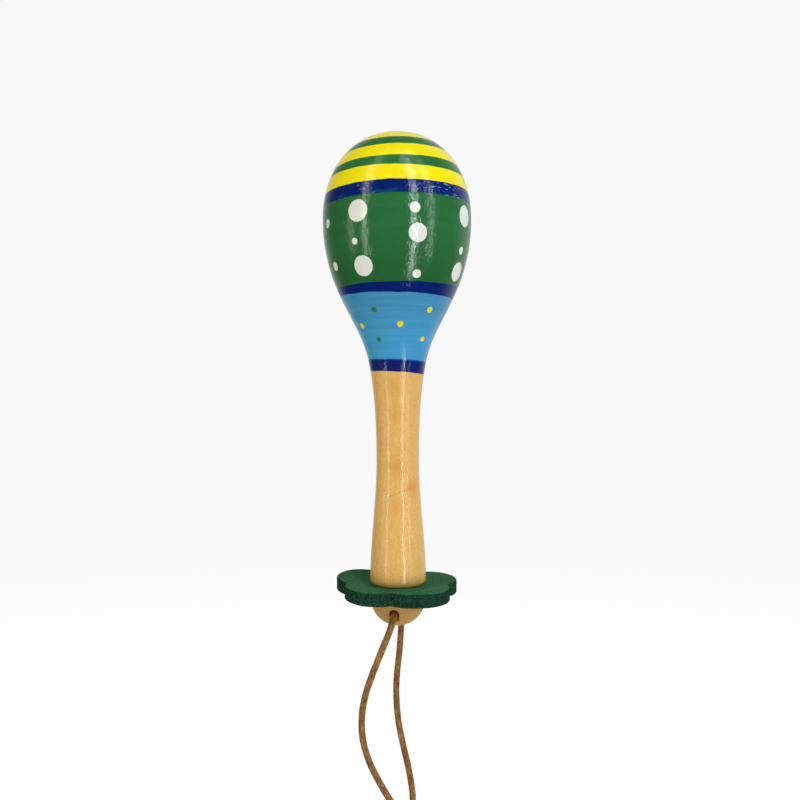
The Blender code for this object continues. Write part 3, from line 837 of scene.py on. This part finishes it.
def make_lights():
    for i, (angle, width_deg, low, high, radiance, colour) in enumerate(STRIPS):
        bottom, top = (STRIP_DISTANCE * math.tan(math.radians(e)) for e in (low, high))
        width = 2 * STRIP_DISTANCE * math.tan(math.radians(width_deg / 2))
        direction = VIEW_ANGLE + angle
        place = round_axis(direction, STRIP_DISTANCE, EQUATOR_Z + (bottom + top) / 2)
        facing = -round_axis(direction, 1.0, 0.0)
        area_light(f"strip_{i + 1}", place, facing, width, top - bottom, radiance, colour)
    for name, angle, distance, height, width, length, radiance, colour in FILLS:
        place = round_axis(VIEW_ANGLE + angle, distance, height)
        facing = Vector((0.0, 0.0, SEAM_Z / 2)) - place
        area_light(name, place, facing, width, length, radiance, colour, shows_in_gloss=False)


# --- the pieces ---
def make_lace(look):
    """The two strands of the lace, each a free cord from the knob's bore to the knot."""
    strands = {}
    both = (("lace_front_cord", "lace_front", FRONT_ROUTE, -BORE_MOUTH_Y),
            ("lace_rear_cord", "lace_rear", REAR_ROUTE, BORE_MOUTH_Y))
    for i, (name, node, route, mouth) in enumerate(both):
        fine = smooth_route(route, LACE_STEP)
        points, faces = leather_tube(fine, LACE_DIAMETER, i)
        item = piece_from(mesh_from(name, points, faces), name, [look], 60.0)
        settled(item, "lace_loop", "brown_leather", node)
        strands[name] = (item, fine, mouth)
    return strands


def make_knot(look):
    """The overhand knot that joins the strands, with two short tails."""
    centre = Vector(KNOT_CENTRE)
    points, faces = [], []
    for i, (side, route) in enumerate(((-1.0, FRONT_ROUTE), (1.0, REAR_ROUTE))):
        strand = [Vector(route[-1])]
        for k, place in enumerate(KNOT_TURNS):
            tail = max(0.0, k / (len(KNOT_TURNS) - 1) - TAILS_FROM) / (1.0 - TAILS_FROM)
            apart = side * (KNOT_HALF_GAP + TAIL_SPREAD * tail)
            strand.append(centre + Vector(place) + Vector((0.0, apart, 0.35 * side)))
        fine = smooth_route([tuple(p) for p in strand], LACE_STEP)
        new_points, new_faces = leather_tube(fine, LACE_DIAMETER * KNOT_SLIMMING, 3 + i)
        faces += [tuple(index + len(points) for index in face) for face in new_faces]
        points += new_points
    item = piece_from(mesh_from("lace_knot_tied", points, faces), "lace_knot_tied", [look], 60.0)
    return settled(item, "lace_loop", "brown_leather", "lace_knot")


def make_dome(paint, bare):
    """The upper half of the head, hollow, with the rabbet that sits over the cup's tongue."""
    outer = crown_outline(SEAM_Z, 150)
    inner = crown_outline(SEAM_Z + TONGUE_HEIGHT, 60, inset=WALL)
    tongue = HEAD_RADIUS - WALL / 2
    step = [(tongue, SEAM_Z), (tongue, SEAM_Z + TONGUE_HEIGHT)]
    mesh = lathe_mesh("painted_dome", outer[::-1] + step + inner, HEAD_SEGMENTS)
    item = piece_from(mesh, "painted_dome", [paint, bare])

    def is_inside(radius, z):
        across, up = radius / HEAD_RADIUS, (z - EQUATOR_Z) / (CROWN_Z - EQUATOR_Z)
        return across**CROWN_EXPONENT + up**CROWN_EXPONENT < 0.95

    paint_inner_faces(mesh, is_inside, 1)
    return settled(item, "shaker", "head_paint", "head_upper_shell")


def make_cup(paint, bare):
    """The lower half of the head, with the seeds' floor above and the handle's socket below."""
    floor_radius = side_radius(FLOOR_Z) - WALL
    corner = arc_outline((floor_radius - FLOOR_FILLET, FLOOR_Z + FLOOR_FILLET), FLOOR_FILLET, -90, -25, 10)
    inner = side_outline(FLOOR_Z + FLOOR_CORNER, EQUATOR_Z, 40, inset=WALL)
    top = SEAM_Z + TONGUE_HEIGHT - FIT / 2
    tongue = HEAD_RADIUS - WALL / 2 - FIT
    inner += [(crown_radius(z, inset=WALL), z) for z in np.linspace(EQUATOR_Z, top, 12)[1:]]
    step = [(tongue, top), (tongue, SEAM_Z)]
    outer = [(crown_radius(z), z) for z in np.linspace(SEAM_Z, EQUATOR_Z, 20)[:-1]]
    outer += side_outline(EQUATOR_Z, NECK_Z, 160)
    bore, top_of_bore = TENON_RADIUS + FIT, TENON_TOP_Z + FIT
    socket = [(bore, NECK_Z), (bore, top_of_bore), (0.0, top_of_bore)]
    outline = [(0.0, FLOOR_Z)] + corner + inner + step + outer + socket
    mesh = lathe_mesh("painted_cup", outline, HEAD_SEGMENTS)
    item = piece_from(mesh, "painted_cup", [paint, bare])
    paint_inner_faces(mesh, lambda r, z: r < outer_radius(z) - 0.4, 1)
    return settled(item, "shaker", "head_paint", "head_lower_shell")


def make_handle(finish, bare):
    """The turned grip: tenon above, softly rounded foot and the dowel's hole below."""
    tenon = [
        (0.0, TENON_TOP_Z), (TENON_RADIUS - TENON_CHAMFER, TENON_TOP_Z),
        (TENON_RADIUS, TENON_TOP_Z - TENON_CHAMFER), (TENON_RADIUS, NECK_Z),
    ]
    side = side_outline(NECK_Z, FOOT_Z + FOOT_ROUNDING, 220)
    foot = arc_outline((side[-1][0] - FOOT_ROUNDING, FOOT_Z + FOOT_ROUNDING), FOOT_ROUNDING, -4, -90, 14)
    bore, top_of_bore = DOWEL_RADIUS + FIT, DOWEL_TOP_Z + FIT
    hole = [(bore, FOOT_Z), (bore, top_of_bore), (0.0, top_of_bore)]
    mesh = lathe_mesh("turned_handle", tenon + side + foot + hole, HANDLE_SEGMENTS)
    item = piece_from(mesh, "turned_handle", [finish, bare])
    paint_inner_faces(mesh, lambda r, z: z > NECK_Z + 0.01 or r < DOWEL_RADIUS + 2 * FIT, 1)
    return settled(item, "shaker", "varnished_wood", "handle")


def flower_outline():
    """Five round lobes between the notches, each an arc through its two notches and its tip."""
    outline = []
    angles = NOTCH_ANGLES + (NOTCH_ANGLES[0] + 360.0,)
    for first, last in zip(angles, angles[1:]):
        half = math.radians(last - first) / 2
        middle = math.radians(first) + half
        reach = (FLOWER_RADIUS**2 - NOTCH_RADIUS**2) / (
            2 * (FLOWER_RADIUS - NOTCH_RADIUS * math.cos(half)))
        lobe = FLOWER_RADIUS - reach
        sweep = math.pi - math.atan2(NOTCH_RADIUS * math.sin(half), reach - NOTCH_RADIUS * math.cos(half))
        for a in np.linspace(-sweep, sweep, LOBE_STEPS, endpoint=False):
            out = reach * Vector((math.sin(middle), -math.cos(middle)))
            out += lobe * Vector((math.sin(middle + a), -math.cos(middle + a)))
            outline.append((FLOWER_CENTRE[0] + out.x, FLOWER_CENTRE[1] + out.y))
    return outline


def felt_section():
    """(share of the way from hole to outline, inset from the outline, height) round the felt's section."""
    top, under, soft = FELT_TOP_Z, FELT_UNDER_Z, FELT_EDGE_ROUNDING
    arc = [math.radians(a) for a in np.linspace(0, 90, FELT_ROUNDING_STEPS)]
    section = [(s, soft, top) for s in np.linspace(0.0, 1.0, FELT_FACE_STEPS)]
    section += [(1.0, soft * (1 - math.sin(a)), top - soft * (1 - math.cos(a))) for a in arc[1:]]
    section += [(1.0, 0.0, z) for z in np.linspace(top - soft, under + soft, FELT_WALL_STEPS)[1:]]
    section += [(1.0, soft * (1 - math.cos(a)), under + soft * (1 - math.sin(a))) for a in arc[1:]]
    section += [(s, soft, under) for s in np.linspace(1.0, 0.0, FELT_FACE_STEPS)[1:]]
    return section


def felt_lean(point):
    """The free part of the felt leans and curls up a little, while the clamped middle stays flat."""
    reach = math.hypot(point.x, point.y)
    if reach <= CLAMP_RADIUS:
        return point
    share = (reach - CLAMP_RADIUS) / reach
    across, towards = point.dot(VIEW_RIGHT) * share, point.dot(VIEW_TOWARDS) * share
    drop = across * math.tan(math.radians(FELT_LEAN)) + towards * math.tan(math.radians(FELT_PITCH))
    curl = FELT_CURL * (reach - CLAMP_RADIUS) ** 2
    return point + Vector((0.0, 0.0, curl - drop))


def make_felt(face_look, cut_look):
    """The thick felt flower, with matted faces, soft edges and a rough cut."""
    outline = flower_outline()
    section = felt_section()
    count = len(outline)
    points = []
    for share, inset, z in section:
        for x, y in outline:
            reach = math.hypot(x, y)
            outer = reach - inset
            radius = FELT_HOLE_RADIUS + (outer - FELT_HOLE_RADIUS) * share
            place = Vector((x / reach * radius, y / reach * radius, z))
            swell = noise.noise(place * FELT_SWELL[0]) * FELT_SWELL[1]
            matted = sum(noise.noise(place * often) * height for often, height in FELT_MATTING)
            outwards = Vector((x / reach, y / reach, 0.0))
            if share < 1.0 or inset >= FELT_EDGE_ROUNDING:
                grow = min(1.0, max(0.0, (radius - CLAMP_RADIUS) / 2.0))
                up = 1.0 if z > (FELT_TOP_Z + FELT_UNDER_Z) / 2 else -1.0
                place.z += (swell + up * matted) * grow
            else:
                place += outwards * (matted * 2.0)
                place.z += swell
            points.append(felt_lean(place))
    faces = []
    rings = len(section)
    for i in range(rings):
        for k in range(count):
            a, b = i * count + k, i * count + (k + 1) % count
            c, d = ((i + 1) % rings) * count + (k + 1) % count, ((i + 1) % rings) * count + k
            faces.append((a, d, c, b))
    mesh = mesh_from("felt_flower", points, faces)
    item = piece_from(mesh, "felt_flower", [face_look, cut_look], 70.0)
    rounded = FELT_ROUNDING_STEPS - 1
    edge_from = FELT_FACE_STEPS + 1
    edge_to = FELT_FACE_STEPS + rounded + FELT_WALL_STEPS - 1 + rounded - 2
    for i, face in enumerate(mesh.polygons):
        if edge_from <= i // count < edge_to:
            face.material_index = 1
    return settled(item, "shaker", "green_felt", "felt_collar")


def make_knob(look):
    """The half ball, bored across, with a worn doorway under each mouth of the bore."""
    outline = [(0.0, DOWEL_END_Z - FIT), (DOWEL_RADIUS + FIT, DOWEL_END_Z - FIT),
               (DOWEL_RADIUS + FIT, KNOB_TOP_Z), (KNOB_RADIUS - 0.5, KNOB_TOP_Z)]
    outline += arc_outline((0.0, KNOB_TOP_Z), KNOB_RADIUS, -2.5, -90, 60)[:-1]
    outline += [(0.0, KNOB_TOP_Z - KNOB_RADIUS)]
    item = piece_from(lathe_mesh("bored_knob", outline, KNOB_SEGMENTS), "bored_knob", [look])
    cutters = [bore_cutter()] + [doorway_cutter(facing) for facing in (-1.0, 1.0)]
    for cutter in cutters:
        step = item.modifiers.new(cutter.name, "BOOLEAN")
        step.operation = "DIFFERENCE"
        step.object = cutter
    remesh = item.modifiers.new("even", "REMESH")
    remesh.mode = "VOXEL"
    remesh.voxel_size = 0.16 * MM
    ease = item.modifiers.new("ease", "SMOOTH")
    ease.iterations = 6
    ease.factor = 0.5
    apply_modifiers(item)
    for cutter in cutters:
        bpy.data.objects.remove(cutter, do_unlink=True)
    item.data.shade_smooth()
    return settled(item, "shaker", "varnished_wood", "end_knob")


def apply_modifiers(item):
    """Replaces the item's mesh by what its modifiers make of it."""
    evaluated = item.evaluated_get(bpy.context.evaluated_depsgraph_get())
    finished = bpy.data.meshes.new_from_object(evaluated)
    item.modifiers.clear()
    item.data = finished


def bore_cutter():
    shape = bmesh.new()
    bmesh.ops.create_cone(
        shape, cap_ends=True, segments=48, radius1=BORE_RADIUS * MM, radius2=BORE_RADIUS * MM,
        depth=3 * KNOB_RADIUS * MM,
    )
    turn = Matrix.Translation(Vector((0.0, 0.0, BORE_Z)) * MM) @ Matrix.Rotation(math.pi / 2, 4, "X")
    bmesh.ops.transform(shape, matrix=turn, verts=shape.verts)
    return piece_from(mesh_of(shape, "bore"), "bore", [])


def doorway_cutter(facing):
    """The groove below one mouth of the bore, drawn in YZ and extruded across X."""
    lip_out, lip_down = SLOT_LIP
    far = KNOB_RADIUS + 2.0
    side = [(SLOT_START_Y, 0.0), (far, 0.0), (far, -lip_down - 1.0), (lip_out + 0.4, -lip_down - 0.2),
            (lip_out, -lip_down), (SLOT_START_Y, -1.2)]
    shape = bmesh.new()
    corners = [shape.verts.new((-SLOT_WIDTH / 2 * MM, facing * y * MM, (BORE_Z + z) * MM)) for y, z in side]
    raised = bmesh.ops.extrude_face_region(shape, geom=[shape.faces.new(corners)])["geom"]
    across = Vector((SLOT_WIDTH * MM, 0.0, 0.0))
    bmesh.ops.translate(shape, verts=[v for v in raised if isinstance(v, bmesh.types.BMVert)], vec=across)
    bmesh.ops.recalc_face_normals(shape, faces=shape.faces)
    return piece_from(mesh_of(shape, "doorway"), "doorway", [])


def make_seeds(look):
    """Twenty-four dry seeds, each a little different, on their own bodies."""
    for i in range(SEED_COUNT):
        node = f"seed_{i + 1:02d}"
        low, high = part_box(node)
        centre = (low + high) / 2
        shape = bmesh.new()
        bmesh.ops.create_icosphere(shape, subdivisions=4, radius=1.0)
        for vert in shape.verts:
            direction = vert.co.normalized()
            dimple = 0.10 * max(0.0, direction.z - DIMPLE_FROM) / (1.0 - DIMPLE_FROM)
            bumps = 0.05 * noise.noise(direction * 1.6 + Vector((i * 3.1, 0.0, 0.0)))
            ridge = 0.03 * math.exp(-(direction.x / 0.10) ** 2)
            vert.co = centre + direction * SEED_RADIUS * MM * (0.965 + bumps - dimple + ridge)
        item = piece_from(mesh_of(shape, node + "_dry"), node + "_dry", [look], 180.0)
        settled(item, f"seed_body_{i + 1:02d}", "dry_seed", node)


# --- putting it together ---
bpy.context.scene.view_settings.view_transform = "Standard"
make_camera()
leather_look = leather("waxed_leather")
lace = make_lace(leather_look)
knot = make_knot(leather_look)

make_floor()
make_world()
make_lights()
turned_look = turned_finish("paint_and_varnish")
inside_look = bare_wood("inside_wood", 0.6)
make_dome(turned_look, inside_look)
make_cup(turned_look, inside_look)
make_handle(turned_look, inside_look)
felt = make_felt(felt_face("felt_face"), felt_cut("felt_cut"))
make_knob(bare_wood("knob_wood", 0.42, aged=0.15))
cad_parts["knob_dowel"].data.materials.clear()
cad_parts["knob_dowel"].data.materials.append(bare_wood("dowel_wood", 0.6))
make_seeds(dry_seed("dry_seed"))
